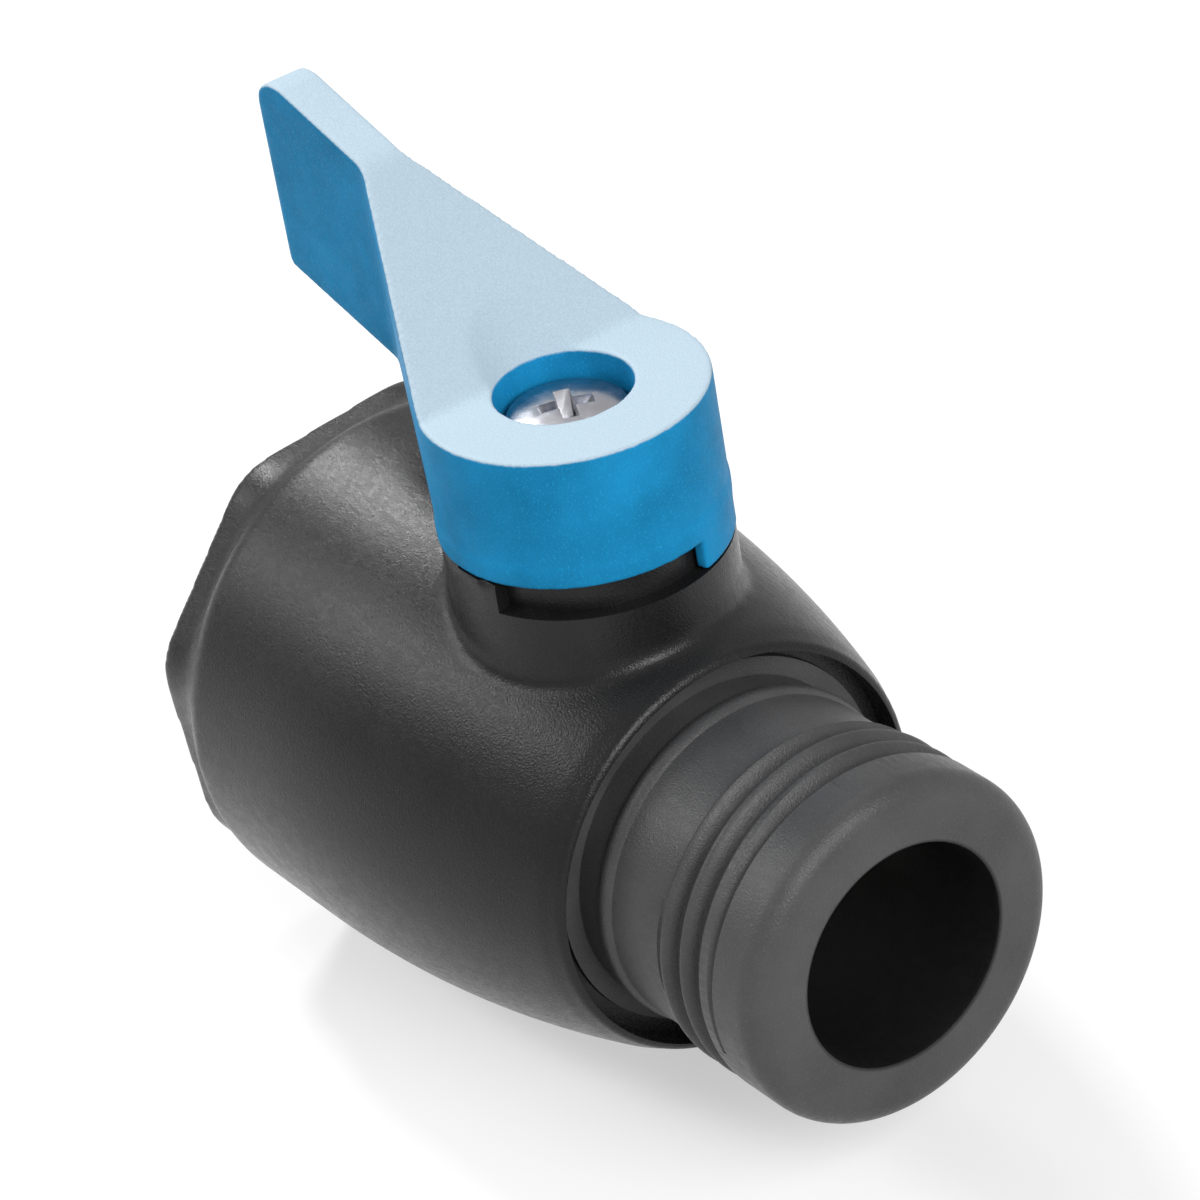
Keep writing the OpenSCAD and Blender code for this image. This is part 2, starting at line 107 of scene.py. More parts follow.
class HoseValveLever(bpy.types.PropertyGroup):
    """Sizes of the lever"""
    hub_radius: length("Hub radius", "Radius of the hub", 10.6)
    hub_height: length("Hub height", "Height of the hub", 10.3)
    fin_thickness: length("Fin thickness", "Thickness of the upright fin", 3.5)
    neck_place: length("Neck place", "Stem axis to the neck", 19.4)
    pocket_radius: length("Pocket radius", "Radius of the screw's pocket", 5.07)
    voxel: length("Skin size", "Size of the skin's faces", 0.17)


class HoseValveFinish(bpy.types.PropertyGroup):
    """Colours of the visible finishes"""
    body: colour("Body", "Black moulded plastic", (0.009, 0.009, 0.0095))
    tail: colour("Tail", "Black plastic of the outlet tail", (0.058, 0.058, 0.059))
    lever: colour("Lever", "Blue of the lever's sides", (0.010, 0.235, 0.48))
    # Painted sheen: this paler top colour stands in for the overhead light's reflection on the lever's
    # top faces.
    lever_top_painted_sheen: colour("Lever top", "Paler blue of the lever's top faces", (0.475, 0.60, 0.695))
    screw: colour("Screw", "Zinc-plated steel", (0.38, 0.38, 0.41))


# Modelling helpers

def deselect():
    if bpy.context.object and bpy.context.object.mode != "OBJECT":
        bpy.ops.object.mode_set(mode="OBJECT")
    bpy.ops.object.select_all(action="DESELECT")


def take(obj):
    """Makes obj the only selected and the active object."""
    deselect()
    obj.select_set(True)
    bpy.context.view_layer.objects.active = obj
    return obj


def edit_all():
    """Goes into edit mode with the whole mesh selected."""
    bpy.ops.object.mode_set(mode="EDIT")
    bpy.ops.mesh.select_all(action="SELECT")


def object_mode():
    bpy.ops.object.mode_set(mode="OBJECT")


def trace(name, points):
    """A closed outline, drawn as a chain of extruded edges."""
    deselect()
    bpy.ops.mesh.primitive_plane_add(size=1, location=points[0])
    obj = bpy.context.object
    obj.name = name
    bpy.ops.object.transform_apply(location=True, rotation=True, scale=True)
    edit_all()
    bpy.ops.mesh.merge(type="CENTER")
    for here, there in zip(points, points[1:]):
        step = Vector(there) - Vector(here)
        bpy.ops.mesh.extrude_region_move(TRANSFORM_OT_translate={"value": step})
    bpy.ops.mesh.select_all(action="SELECT")
    bpy.ops.mesh.edge_face_add()
    object_mode()
    return obj


def outward():
    """Merges doubles and turns all faces outwards, in edit mode."""
    bpy.ops.mesh.select_all(action="SELECT")
    bpy.ops.mesh.remove_doubles(threshold=0.0005)
    bpy.ops.mesh.normals_make_consistent(inside=False)


def prism(name, points, step):
    """A closed outline pulled into a solid."""
    obj = take(trace(name, points))
    edit_all()
    bpy.ops.mesh.extrude_region_move(TRANSFORM_OT_translate={"value": Vector(step)})
    outward()
    object_mode()
    return obj


def spun(name, profile, about_stem=False, steps=160):
    """A closed profile of (radius, place) points, spun about the flow axis or the stem axis."""
    if about_stem:
        points = [(STEM_X + r, 0, p) for r, p in profile]
        centre, axis = (STEM_X, 0, 0), (0, 0, 1)
    else:
        points = [(STEM_X + p, 0, r) for r, p in profile]
        centre, axis = (0, 0, 0), (1, 0, 0)
    obj = take(trace(name, points))
    edit_all()
    bpy.ops.mesh.delete(type="ONLY_FACE")
    bpy.ops.mesh.select_all(action="SELECT")
    bpy.ops.mesh.spin(steps=steps, angle=math.tau, center=centre, axis=axis)
    outward()
    object_mode()
    return obj


def arc(centre, radius, start, end, steps=6):
    """Points on an arc, in a profile's plane."""
    return [(centre[0] + radius * math.cos(math.radians(start + (end - start) * i / steps)),
             centre[1] + radius * math.sin(math.radians(start + (end - start) * i / steps)))
            for i in range(steps + 1)]


def rounded(a, b, c, radius, steps=6):
    """Points that round the corner b between a and c."""
    a, b, c = Vector(a), Vector(b), Vector(c)
    u, v = (a - b).normalized(), (c - b).normalized()
    half = math.acos(max(-1, min(1, u.dot(v)))) / 2
    centre = b + (u + v).normalized() * radius / math.sin(half)
    p = b + u * radius / math.tan(half) - centre
    q = b + v * radius / math.tan(half) - centre
    start = math.degrees(math.atan2(p.y, p.x))
    swing = math.degrees(math.atan2(p.x * q.y - p.y * q.x, p.dot(q)))
    return arc(centre, radius, start, start + swing, steps)


def bar(name, radius, low, high, vertices=96, about_stem=True):
    """A round bar on the stem axis or the flow axis, for joining or cutting."""
    deselect()
    middle = (low + high) / 2
    if about_stem:
        place, turn = (STEM_X, 0, middle), (0, 0, 0)
    else:
        place, turn = (STEM_X + middle, 0, 0), (0, math.pi / 2, 0)
    bpy.ops.mesh.primitive_cylinder_add(
        vertices=vertices, radius=radius, depth=high - low, location=place, rotation=turn)
    obj = bpy.context.object
    obj.name = name
    bpy.ops.object.transform_apply(location=True, rotation=True, scale=True)
    return obj


def sector(name, r_in, r_out, start, end, low, high):
    """A piece of a ring about the stem axis."""
    outline = arc((0, 0), r_out, start, end, 48) + arc((0, 0), r_in, end, start, 48)
    return prism(name, [(STEM_X + x, y, low) for x, y in outline], (0, 0, high - low))


def apply(obj, kind, **settings):
    """Adds a modifier to obj and applies it."""
    take(obj)
    modifier = obj.modifiers.new(kind.title(), kind)
    for key, value in settings.items():
        setattr(modifier, key, value)
    bpy.ops.object.modifier_apply(modifier=modifier.name)
    return obj


def combine(obj, operation, *tools):
    """Joins, cuts or crosses obj with the tools, which are used up."""
    for tool in tools:
        apply(obj, "BOOLEAN", operation=operation, solver="EXACT", object=tool)
        bpy.data.objects.remove(tool)
    return obj


def weights(obj, name, measure):
    """A vertex group whose weight is measure(point), from 0 to 1."""
    group = obj.vertex_groups.new(name=name)
    for vertex in obj.data.vertices:
        weight = measure(vertex.co)
        if weight > 0.01:
            group.add([vertex.index], min(1.0, weight), "REPLACE")
    return group.name


def ramp(value, low, high):
    """Smooth step from 0 at low to 1 at high."""
    t = max(0.0, min(1.0, (value - low) / (high - low)))
    return t * t * (3 - 2 * t)


def coil(name, profile, pitch, start, turns, swell, steps=96):
    """A helical bar about the flow axis, with profile points (radius, place); over a third of
    a turn at each end its radius grows by the share swell, which fades the thread out."""
    count, fade = int(steps * turns), steps // 3

    def growth(i):
        return 1 + swell * (1 - ramp(min(i, count - i), 0, fade))

    obj = take(trace(name, [(STEM_X + start + p, 0, r * growth(0)) for r, p in profile]))
    edit_all()
    for i in range(count):
        bpy.ops.mesh.extrude_region_move(
            TRANSFORM_OT_translate={"value": (pitch / steps, 0, 0)})
        bpy.ops.transform.rotate(
            value=-math.tau / steps, orient_axis="X", orient_type="GLOBAL",
            center_override=(0, 0, 0))
        grow = growth(i + 1) / growth(i)
        bpy.ops.transform.resize(
            value=(1, grow, grow), orient_type="GLOBAL", center_override=(0, 0, 0))
    outward()
    object_mode()
    return obj


def finished(obj, name, body, material, nodes, angle=35):
    """Brings a piece to metres, names it, dresses it and puts it on its body."""
    take(obj)
    obj.name = name
    obj.data.name = name
    obj.scale = (1 / MM,) * 3
    obj.location = (0, 0, 0)
    bpy.ops.object.transform_apply(location=True, rotation=True, scale=True)
    bpy.ops.object.shade_smooth_by_angle(angle=math.radians(angle))
    obj.data.materials.clear()
    obj.data.materials.append(material)
    obj.vertex_groups.clear()
    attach(obj, body)
    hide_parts(*nodes)
    return obj


# Materials

def new_material(name):
    """An empty node material with its output, shader and object coordinates."""
    material = bpy.data.materials.new(name)
    material.use_nodes = True
    nodes = material.node_tree.nodes
    nodes.clear()
    output = nodes.new("ShaderNodeOutputMaterial")
    shader = nodes.new("ShaderNodeBsdfPrincipled")
    place = nodes.new("ShaderNodeTexCoord")
    material.node_tree.links.new(shader.outputs["BSDF"], output.inputs["Surface"])
    return material, shader, place


def link(material, start, end):
    material.node_tree.links.new(start, end)


def noise(material, place, scale, detail=2.0, stretch=(1, 1, 1)):
    """A noise pattern on the object's own coordinates; scale is in patterns per metre."""
    nodes = material.node_tree.nodes
    mapping = nodes.new("ShaderNodeMapping")
    mapping.inputs["Scale"].default_value = stretch
    texture = nodes.new("ShaderNodeTexNoise")
    texture.inputs["Scale"].default_value = scale
    texture.inputs["Detail"].default_value = detail
    link(material, place.outputs["Object"], mapping.inputs["Vector"])
    link(material, mapping.outputs["Vector"], texture.inputs["Vector"])
    return texture.outputs["Fac"]


def spread(material, value, low, high, to_low, to_high):
    """Maps a pattern's value to a range."""
    node = material.node_tree.nodes.new("ShaderNodeMapRange")
    node.inputs["From Min"].default_value = low
    node.inputs["From Max"].default_value = high
    node.inputs["To Min"].default_value = to_low
    node.inputs["To Max"].default_value = to_high
    link(material, value, node.inputs["Value"])
    return node.outputs["Result"]


def blended(material, factor, first, second):
    """A colour mixed from two colours or sockets by a factor socket."""
    node = material.node_tree.nodes.new("ShaderNodeMix")
    node.data_type = "RGBA"
    link(material, factor, node.inputs[0])
    for socket, value in ((node.inputs[6], first), (node.inputs[7], second)):
        if isinstance(value, bpy.types.NodeSocket):
            link(material, value, socket)
        else:
            socket.default_value = (*value, 1)
    return node.outputs[2]


def relief(material, shader, height, distance, strength=1.0, under=None):
    """Bump from a height pattern, in metres."""
    node = material.node_tree.nodes.new("ShaderNodeBump")
    node.inputs["Distance"].default_value = distance
    node.inputs["Strength"].default_value = strength
    link(material, height, node.inputs["Height"])
    if under is not None:
        link(material, under, node.inputs["Normal"])
    return node.outputs["Normal"]


def moulded_plastic(name, colour, roughness=0.42, grain=0.00004, level=0.5, top=None, bore=0):
    """Moulded plastic: fine spark-eroded grain, slow flow shading and slight scuffing. Faces turned
    up take the colour top as a painted sheen, and inside the radius bore it is darker as painted shade."""
    material, shader, place = new_material(name)
    fine = noise(material, place, 6500, 3.0)
    patches = noise(material, place, 160, 3.0)
    scuffs = noise(material, place, 900, 4.0, (1, 3, 1))
    dark = tuple(c * 0.80 for c in colour)
    light = tuple(min(1, c * 1.16 + 0.001) for c in colour)
    shade = blended(material, spread(material, patches, 0.3, 0.7, 0, 1), dark, light)
    shade = blended(material, spread(material, fine, 0.55, 0.75, 0, 0.7), shade,
                    tuple(min(1, c * 1.5 + 0.006) for c in colour))
    # Painted sheen: faces turned up blend to the paler top colour, standing in for reflected overhead
    # light; the bloom mix here is that painted sheen.
    if top:
        facing = material.node_tree.nodes.new("ShaderNodeSeparateXYZ")
        link(material, place.outputs["Normal"], facing.inputs["Vector"])
        painted_sheen_mask = spread(material, facing.outputs["Z"], 0.2, 0.5, 0, 1)
        bloom = blended(material, spread(material, fine, 0.3, 0.7, 0, 1),
                        tuple(c * 0.90 for c in top), tuple(min(1, c * 1.04) for c in top))
        shade = blended(material, painted_sheen_mask, shade, bloom)
    # Painted shade: inside the bore radius the colour is darkened to stand in for the shade in the flow
    # bore.
    if bore:
        flat = material.node_tree.nodes.new("ShaderNodeVectorMath")
        flat.operation = "MULTIPLY"
        flat.inputs[1].default_value = (0, 1, 1)
        link(material, place.outputs["Object"], flat.inputs[0])
        out = material.node_tree.nodes.new("ShaderNodeVectorMath")
        out.operation = "LENGTH"
        link(material, flat.outputs["Vector"], out.inputs[0])
        painted_bore_shade_mask = spread(material, out.outputs["Value"], bore, bore + 0.0002, 1, 0)
        shade = blended(material, painted_bore_shade_mask, shade, tuple(c * 0.12 for c in colour))
    link(material, shade, shader.inputs["Base Color"])
    link(material, spread(material, scuffs, 0.3, 0.7, roughness - 0.05, roughness + 0.07),
         shader.inputs["Roughness"])
    swell = relief(material, shader, patches, 0.00002, 0.5)
    link(material, relief(material, shader, fine, grain, 1.0, swell), shader.inputs["Normal"])
    shader.inputs["Specular IOR Level"].default_value = level
    return material


def plated_steel(name, colour):
    """Zinc-plated steel with faint turning marks and dull spots."""
    material, shader, place = new_material(name)
    spots = noise(material, place, 900, 2.0)
    marks = noise(material, place, 500, 2.0, (1, 1, 8))
    shade = blended(material, spread(material, spots, 0.35, 0.7, 0, 1),
                    tuple(c * 0.92 for c in colour), colour)
    link(material, shade, shader.inputs["Base Color"])
    shader.inputs["Metallic"].default_value = 1.0
    link(material, spread(material, spots, 0.3, 0.7, 0.20, 0.28), shader.inputs["Roughness"])
    link(material, relief(material, shader, marks, 0.000004, 0.5), shader.inputs["Normal"])
    return material


def rubber(name, colour):
    """Soft black rubber with a dusty bloom."""
    material, shader, place = new_material(name)
    bloom = noise(material, place, 500, 4.0)
    pores = noise(material, place, 6000, 2.0)
    shade = blended(material, spread(material, bloom, 0.3, 0.7, 0, 1),
                    colour, tuple(c * 1.6 for c in colour))
    link(material, shade, shader.inputs["Base Color"])
    link(material, spread(material, bloom, 0.3, 0.7, 0.62, 0.8), shader.inputs["Roughness"])
    link(material, relief(material, shader, pores, 0.00003, 0.6), shader.inputs["Normal"])
    return material


def hard_plastic(name, colour, roughness):
    """Smooth machined or moulded plastic of the inner pieces, with faint turning lines."""
    material, shader, place = new_material(name)
    lines = noise(material, place, 300, 2.0, (12, 1, 1))
    stains = noise(material, place, 220, 3.0)
    shade = blended(material, spread(material, stains, 0.3, 0.7, 0, 1),
                    tuple(c * 0.9 for c in colour), colour)
    link(material, shade, shader.inputs["Base Color"])
    link(material, spread(material, stains, 0.3, 0.7, roughness, roughness + 0.1),
         shader.inputs["Roughness"])
    link(material, relief(material, shader, lines, 0.00001, 0.5), shader.inputs["Normal"])
    return material


# Thread profiles, as (radius, place) points across the pitch

def groove_profile(crest, root, pitch):
    """The cut between two crests, from outside or, where the root is the larger, from
    inside: rounded root, sloping flanks and flared shoulders."""
    half = pitch / 2
    deep = crest - root
    points = []
    for i in range(13):
        t = -1 + 2 * i / 12
        points.append((root + deep * (1 - math.cos(math.pi * t)) / 2, half * 0.96 * t))
    top = crest + math.copysign(0.6, deep)
    return [(top, -half * 0.96)] + points + [(top, half * 0.96)]


# Operators: one for each piece

class HOSEVALVE_OT_body(bpy.types.Operator):
    """Model the moulded body: barrel, inlet collar, stem boss, bores and stop slot"""
    bl_idname = "hosevalve.body"
    bl_label = "Moulded body"

    def execute(self, context):
        sizes = context.scene.hose_valve_body
        radius, curve = sizes.barrel_radius * MM, sizes.barrel_curve * MM
        peak, lip = sizes.barrel_peak * MM, sizes.lip_place * MM
        boss, flats = sizes.boss_radius * MM, sizes.collar_flats * MM / 2

        def curve_radius(x):
            return radius - curve + math.sqrt(curve ** 2 - max(0, x + peak) ** 2)

        inlet = INLET_X - STEM_X
        back = inlet + sizes.collar_length * MM
        soft = sizes.shoulder * MM
        lip_r = curve_radius(lip)
        profile = [(0, back)]
        profile += arc((radius - soft, back + soft), soft, -90, 0, 8)
        profile += [(curve_radius(back + soft + (lip - 0.5 - back - soft) * i / 30),
                     back + soft + (lip - 0.5 - back - soft) * i / 30) for i in range(1, 30)]
        profile += arc((lip_r - 0.5, lip - 0.5), 0.5, 0, 90, 4)
        profile += [(0, lip)]
        body = spun("barrel", profile, steps=180)

        corner = flats / math.cos(math.pi / 8)
        ring = [Vector((math.cos(a), math.sin(a))) * corner for a in
                (sizes.collar_turn + math.pi / 8 + math.tau * i / 8 for i in range(8))]
        outline = []
        for i in range(8):
            outline += rounded(ring[i - 1], ring[i], ring[(i + 1) % 8], 6, 6)
        collar = prism("collar", [(INLET_X, y, z) for y, z in outline],
                       (sizes.collar_length * MM + soft, 0, 0))
        apply(collar, "BEVEL", width=0.35, segments=3, limit_method="ANGLE",
              angle_limit=math.radians(60))

        stem_boss = bar("boss", boss, 6, BOSS_TOP, 128)
        combine(body, "UNION", collar, stem_boss)
        apply(body, "REMESH", mode="VOXEL", voxel_size=sizes.voxel * MM)

        def junction(point):
            x, y = point.x - STEM_X, point.y
            out = math.hypot(x, y)
            if out > 15 or point.z < 10:
                return 0
            foot = math.sqrt(max(0, curve_radius(x) ** 2 - y ** 2))
            away = math.hypot(out - boss, point.z - foot)
            return 1 - ramp(away, 0.8, 2.0)

        group = weights(body, "junction", junction)
        apply(body, "SMOOTH", factor=0.5, iterations=20, vertex_group=group)
        group = weights(body, "collar step",
                        lambda point: 1 - ramp(abs(point.x - STEM_X - back), 1.2, 2.4))
        apply(body, "SMOOTH", factor=0.5, iterations=40, vertex_group=group)
        apply(body, "SMOOTH", factor=0.5, iterations=3)

        tail_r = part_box("outlet_tail")[1].y * MM + 0.05
        flow = context.scene.hose_valve_tail.bore_radius * MM
        pitch = context.scene.hose_valve_tail.pitch * MM
        end = inlet + 8.5
        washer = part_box("hose_washer")[1].x * MM - STEM_X
        chamber = [(0, inlet - 2), (13.8, inlet - 2), (13.8, inlet + 0.25), (12.95, inlet + 0.9),
                   (12.95, end), (13.15, end), (13.15, washer),
                   (flow, washer), (flow, -11.6), (9.35, -11.6), (9.35, -13.35), (11.15, -13.35),
                   (11.15, -11.6), (11.95, -11.6), (11.95, -6.2), (12.8, -6.2), (12.8, 6.2),
                   (tail_r, 6.2), (tail_r, lip - 2.4), (lip_r - 0.6, lip - 2.4), (lip_r - 0.6, lip + 2),
                   (0, lip + 2)]
        cutters = [spun("flow way", chamber, steps=168),
                   bar("stem recess", 5.85, 0, 15.2),
                   bar("stem bore", 4.25, 10, BOSS_TOP + 2),
                   sector("stop slot", 9.3, 13, -74.25, 52.25, 21.15, BOSS_TOP + 2),
                   coil("inlet thread", groove_profile(12.95, 13.6, pitch), pitch,
                        inlet - pitch * 0.53, 3.85, -0.067, 80)]
        combine(body, "DIFFERENCE", *cutters)

        finish = context.scene.hose_valve_finish
        finished(body, "moulded_body", HOUSING,
                 moulded_plastic("Black moulded plastic", tuple(finish.body), 0.26, 0.00004, 0.24),
                 ["valve_body"], 32)
        return {"FINISHED"}


class HOSEVALVE_OT_tail(bpy.types.Operator):
    """Model the outlet tail with its bead, neck and male hose thread"""
    bl_idname = "hosevalve.tail"
    bl_label = "Outlet tail"

    def execute(self, context):
        sizes = context.scene.hose_valve_tail
        crest, root = sizes.crest_radius * MM, sizes.root_radius * MM
        bore, neck = sizes.bore_radius * MM, sizes.neck_radius * MM
        face = OUTLET_X - STEM_X
        start = face - sizes.thread_length * MM
        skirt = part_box("outlet_tail")[1].y * MM
        outer = [(11.95, 11.6), (11.95, 6.25), (skirt, 6.25), (skirt, 7.75), (12.8, 7.75),
                 (12.8, 9.45), (skirt, 9.45), (skirt, 11.0), (neck, 11.0)]
        outer += arc((neck - 0.75, 14.1), 1.1, -47, 47, 10)
        outer += [(neck, 15.0), (neck, start), (crest - 0.6, start), (crest - 0.15, start + 0.35),
                  (crest, start + 0.6)]
        outer += arc((crest - 1.8, face - 1.8), 1.8, 0, 90, 10)
        outer += [(bore + 0.3, face), (bore + 0.08, face - 0.1), (bore, face - 0.35),
                  (bore, 13.35), (9.35, 13.35), (9.35, 11.6)]
        tail = spun("tail", outer, steps=200)
        pitch = sizes.pitch * MM
        cutter = coil("thread cut", groove_profile(crest, root, pitch), pitch,
                      start - pitch * 0.4, 3.3, 0.08)
        combine(tail, "DIFFERENCE", cutter)
        finish = context.scene.hose_valve_finish
        # The bore radius gives the tail's flow bore painted shade.
        finished(tail, "outlet_tail_threaded", HOUSING,
                 moulded_plastic("Black tail plastic", tuple(finish.tail), 0.38, 0.00005, 0.3,
                                 bore=(bore + 0.15) / MM),
                 ["outlet_tail"], 40)
        return {"FINISHED"}


class HOSEVALVE_OT_lever(bpy.types.Operator):
    """Model the lever: hub with its screw pocket, sloping arm, upright fin and stop tab"""
    bl_idname = "hosevalve.lever"
    bl_label = "Lever"

    def execute(self, context):
        sizes = context.scene.hose_valve_lever
        hub, thick = sizes.hub_radius * MM, sizes.fin_thickness * MM
        neck_x, pocket = -sizes.neck_place * MM, sizes.pocket_radius * MM
        low = BOSS_TOP + 0.3
        top = low + sizes.hub_height * MM
        fin_top = top + 15.7
        rim = 10.7
        web = top - 3.9
        crease_x, end_x, lean = -3.6, -33.2, 0.7
        lever = spun("hub", [(0, low), (rim - 0.1, low), (rim, low + 0.1), (rim, low + 1.5),
                             (hub, low + 1.9), (hub, fin_top + 6),
                             (0, fin_top + 6)], about_stem=True, steps=180)

        angle = math.atan2(thick / 2, neck_x) - math.acos(hub / math.hypot(neck_x, thick / 2))
        touch = (hub * math.cos(angle), hub * math.sin(angle))
        flare = math.degrees(math.atan2(touch[1] - thick / 2, touch[0] - neck_x))
        run = 3 * math.tan(math.radians(flare / 2))
        tip = end_x - lean
        side = [touch]
        side += arc((neck_x - run, thick / 2 + 3), 3, flare - 90, -90, 8)
        side += arc((tip + thick / 2, 0), thick / 2, 90, 180, 12)
        side += [(x, -y) for x, y in reversed(side[:-1])]
        arm = prism("arm plan", [(STEM_X + x, y, low) for x, y in side], (0, 0, fin_top + 8 - low))

        heel = (tip, fin_top - 16.2)
        end = (tip + lean * 1.3, heel[1] + 16.5 * 1.3)
        under = (crease_x, heel[1] - 0.27 * (crease_x - tip))
        edge = [(crease_x, end[1]), end] + rounded(end, heel, under, 1.3) + [under]
        shape = prism("arm side", [(STEM_X + x, -14, z) for x, z in edge], (0, 28, 0))
        combine(arm, "INTERSECT", shape)

        crease, neck = (crease_x, top), (neck_x, top + 11.8)
        tip_top = (end_x, fin_top + 0.3)
        line = [(hub + 2, top), crease] + rounded(crease, neck, tip_top, 6)
        curl = rounded(neck, tip_top, heel, 3.2)
        line += curl[:-1]
        last = (curl[-2][0] + 1.6 * (curl[-1][0] - curl[-2][0]),
                curl[-2][1] + 1.6 * (curl[-1][1] - curl[-2][1]))
        line += [last, (tip - 3, fin_top + 9), (hub + 2, fin_top + 9)]
        above = prism("top cut", [(STEM_X + x, -16, z) for x, z in line], (0, 32, 0))

        tab = sector("stop tab", 9.6, rim - 0.03, 16, 52, low - 2.4, low + 1)
        combine(lever, "UNION", arm, tab)
        combine(lever, "DIFFERENCE", above, bar("pocket", pocket, web, top + 20),
                bar("screw hole", 2.15, low - 1, web + 1, 48))
        core = spun("hub core", [(6.4, low - 1), (hub - 1.8, low - 1), (hub - 1.8, top - 3),
                                 (6.4, top - 3)], about_stem=True, steps=120)
        dish = spun("dish", [(0, top), (pocket + 0.2, top), (pocket + 0.2 + 4 / 1.15, top + 4),
                             (0, top + 4)], about_stem=True, steps=120)
        combine(lever, "DIFFERENCE", dish)
        socket = bar("socket", 4.25, low - 1, low + 3.45, 64)
        deselect()
        bpy.ops.mesh.primitive_cube_add(size=1, location=(STEM_X, 0, low + 1))
        flats = bpy.context.object
        flats.scale = (6.1, 20, 6)
        bpy.ops.object.transform_apply(location=True, rotation=True, scale=True)
        combine(socket, "INTERSECT", flats)
        combine(lever, "DIFFERENCE", core, socket)
        rise = 11.8 / (crease_x - neck_x)
        lid = 1.9 * math.sqrt(1 + rise ** 2)
        wall = 1.9 / math.cos(math.radians(flare))

        def half(x):
            return thick / 2 + (x - neck_x) * math.tan(math.radians(flare)) - wall

        front, rear = -hub - 0.5, neck_x + 3
        hollow = prism("arm core", [(STEM_X + front, half(front), low - 1),
                                    (STEM_X + rear, half(rear), low - 1),
                                    (STEM_X + rear, -half(rear), low - 1),
                                    (STEM_X + front, -half(front), low - 1)], (0, 0, 30))
        ceiling = prism("arm core side", [
            (STEM_X + front, -12, low - 2), (STEM_X + rear, -12, low - 2),
            (STEM_X + rear, -12, top + rise * (crease_x - rear) - lid),
            (STEM_X + front, -12, top + rise * (crease_x - front) - lid)], (0, 24, 0))
        combine(hollow, "INTERSECT", ceiling)
        combine(lever, "DIFFERENCE", hollow)

        apply(lever, "REMESH", mode="VOXEL", voxel_size=sizes.voxel * MM)

        def crease_band(point):
            x, y, z = point.x - STEM_X, point.y, point.z - top
            if z < -0.5 or z > 6:
                return 0
            out = math.hypot(x, y)
            cone = (out - pocket - 0.2) * 1.15
            plane = rise * (crease_x - x)
            at_crease = 1 - ramp(abs(x - crease_x), 1.0, 2.4)
            at_dish = (1 - ramp(abs(cone - plane), 0.8, 2.0)) * ramp(plane, -0.5, 0.5)
            inside = ramp(out - pocket, 0.3, 0.9) * (1 - ramp(out - hub, -1.5, -0.7))
            return max(at_crease, at_dish) * inside

        group = weights(lever, "crease", crease_band)
        apply(lever, "SMOOTH", factor=0.5, iterations=40, vertex_group=group)
        apply(lever, "SMOOTH", factor=0.5, iterations=14)
        apply(lever, "DECIMATE", ratio=0.5)
        finish = context.scene.hose_valve_finish
        # The lever's top colour is a painted sheen on its faces turned up.
        finished(lever, "lever_moulding", TURNING,
                 moulded_plastic("Blue moulded plastic", tuple(finish.lever), 0.45,
                                 level=0.05, top=tuple(finish.lever_top_painted_sheen)),
                 ["lever"], 80)
        return {"FINISHED"}


class HOSEVALVE_OT_screw(bpy.types.Operator):
    """Model the pan-head screw with its cross recess"""
    bl_idname = "hosevalve.screw"
    bl_label = "Screw"

    def execute(self, context):
        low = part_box("lever_screw")[0].z * MM
        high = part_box("lever_screw")[1].z * MM
        seat = high - 2.6
        profile = [(0, low), (0.5, low + 0.1), (1.9, low + 2.0), (1.9, seat), (4.4, seat),
                   (4.5, seat + 0.12), (4.5, seat + 1.72), (4.45, seat + 1.87)]
        profile += [(r, high - 16 + math.sqrt(16 ** 2 - r ** 2)) for r in (4.33, 3.6, 2.7, 1.8, 0.9, 0)]
        screw = spun("screw", profile, about_stem=True, steps=128)
        for turn in (0, math.pi / 2):
            deselect()
            bpy.ops.mesh.primitive_cube_add(size=1, location=(STEM_X, 0, high - 0.6))
            wing = bpy.context.object
            wing.scale = (5.0, 1.3, 2.2)
            bpy.ops.object.transform_apply(location=True, rotation=True, scale=True)
            edit_all()
            bpy.ops.mesh.select_all(action="DESELECT")
            object_mode()
            for vertex in wing.data.vertices:
                if vertex.co.z < high - 0.6:
                    vertex.co.x = STEM_X + (vertex.co.x - STEM_X) * 0.35
                    vertex.co.y *= 0.7
            take(wing)
            edit_all()
            bpy.ops.transform.rotate(value=-(turn + math.radians(65)), orient_axis="Z",
                                     orient_type="GLOBAL", center_override=(STEM_X, 0, 0))
            object_mode()
            combine(screw, "DIFFERENCE", wing)
        apply(screw, "BEVEL", width=0.12, segments=3, limit_method="ANGLE",
              angle_limit=math.radians(40))
        finish = context.scene.hose_valve_finish
        finished(screw, "screw_pan_head", TURNING, plated_steel("Zinc-plated steel", tuple(finish.screw)),
                 ["lever_screw"], 30)
        return {"FINISHED"}


class HOSEVALVE_OT_inner(bpy.types.Operator):
    """Finish the inner pieces that keep their own solids: ball, seats, rings, stem and washers"""
    bl_idname = "hosevalve.inner"
    bl_label = "Inner pieces"

    def execute(self, context):
        black = rubber("Black seal rubber", (0.012, 0.012, 0.012))
        washer = rubber("Black washer rubber", (0.02, 0.02, 0.02))
        white = hard_plastic("White acetal", (0.80, 0.80, 0.77), 0.2)
        seat = hard_plastic("White seat plastic", (0.86, 0.86, 0.83), 0.4)
        stem = hard_plastic("Pale stem plastic", (0.74, 0.74, 0.71), 0.35)
        for node, material in {
                "ball": white, "inlet_seat": seat, "outlet_seat": seat,
                "inlet_seat_cushion": black, "outlet_seat_cushion": black,
                "tail_seal_ring": black, "stem_lower_ring": black, "stem_upper_ring": black,
                "stem": stem, "stem_thrust_washer": seat, "hose_washer": washer}.items():
            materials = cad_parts[node].data.materials
            materials.clear()
            materials.append(material)
        return {"FINISHED"}


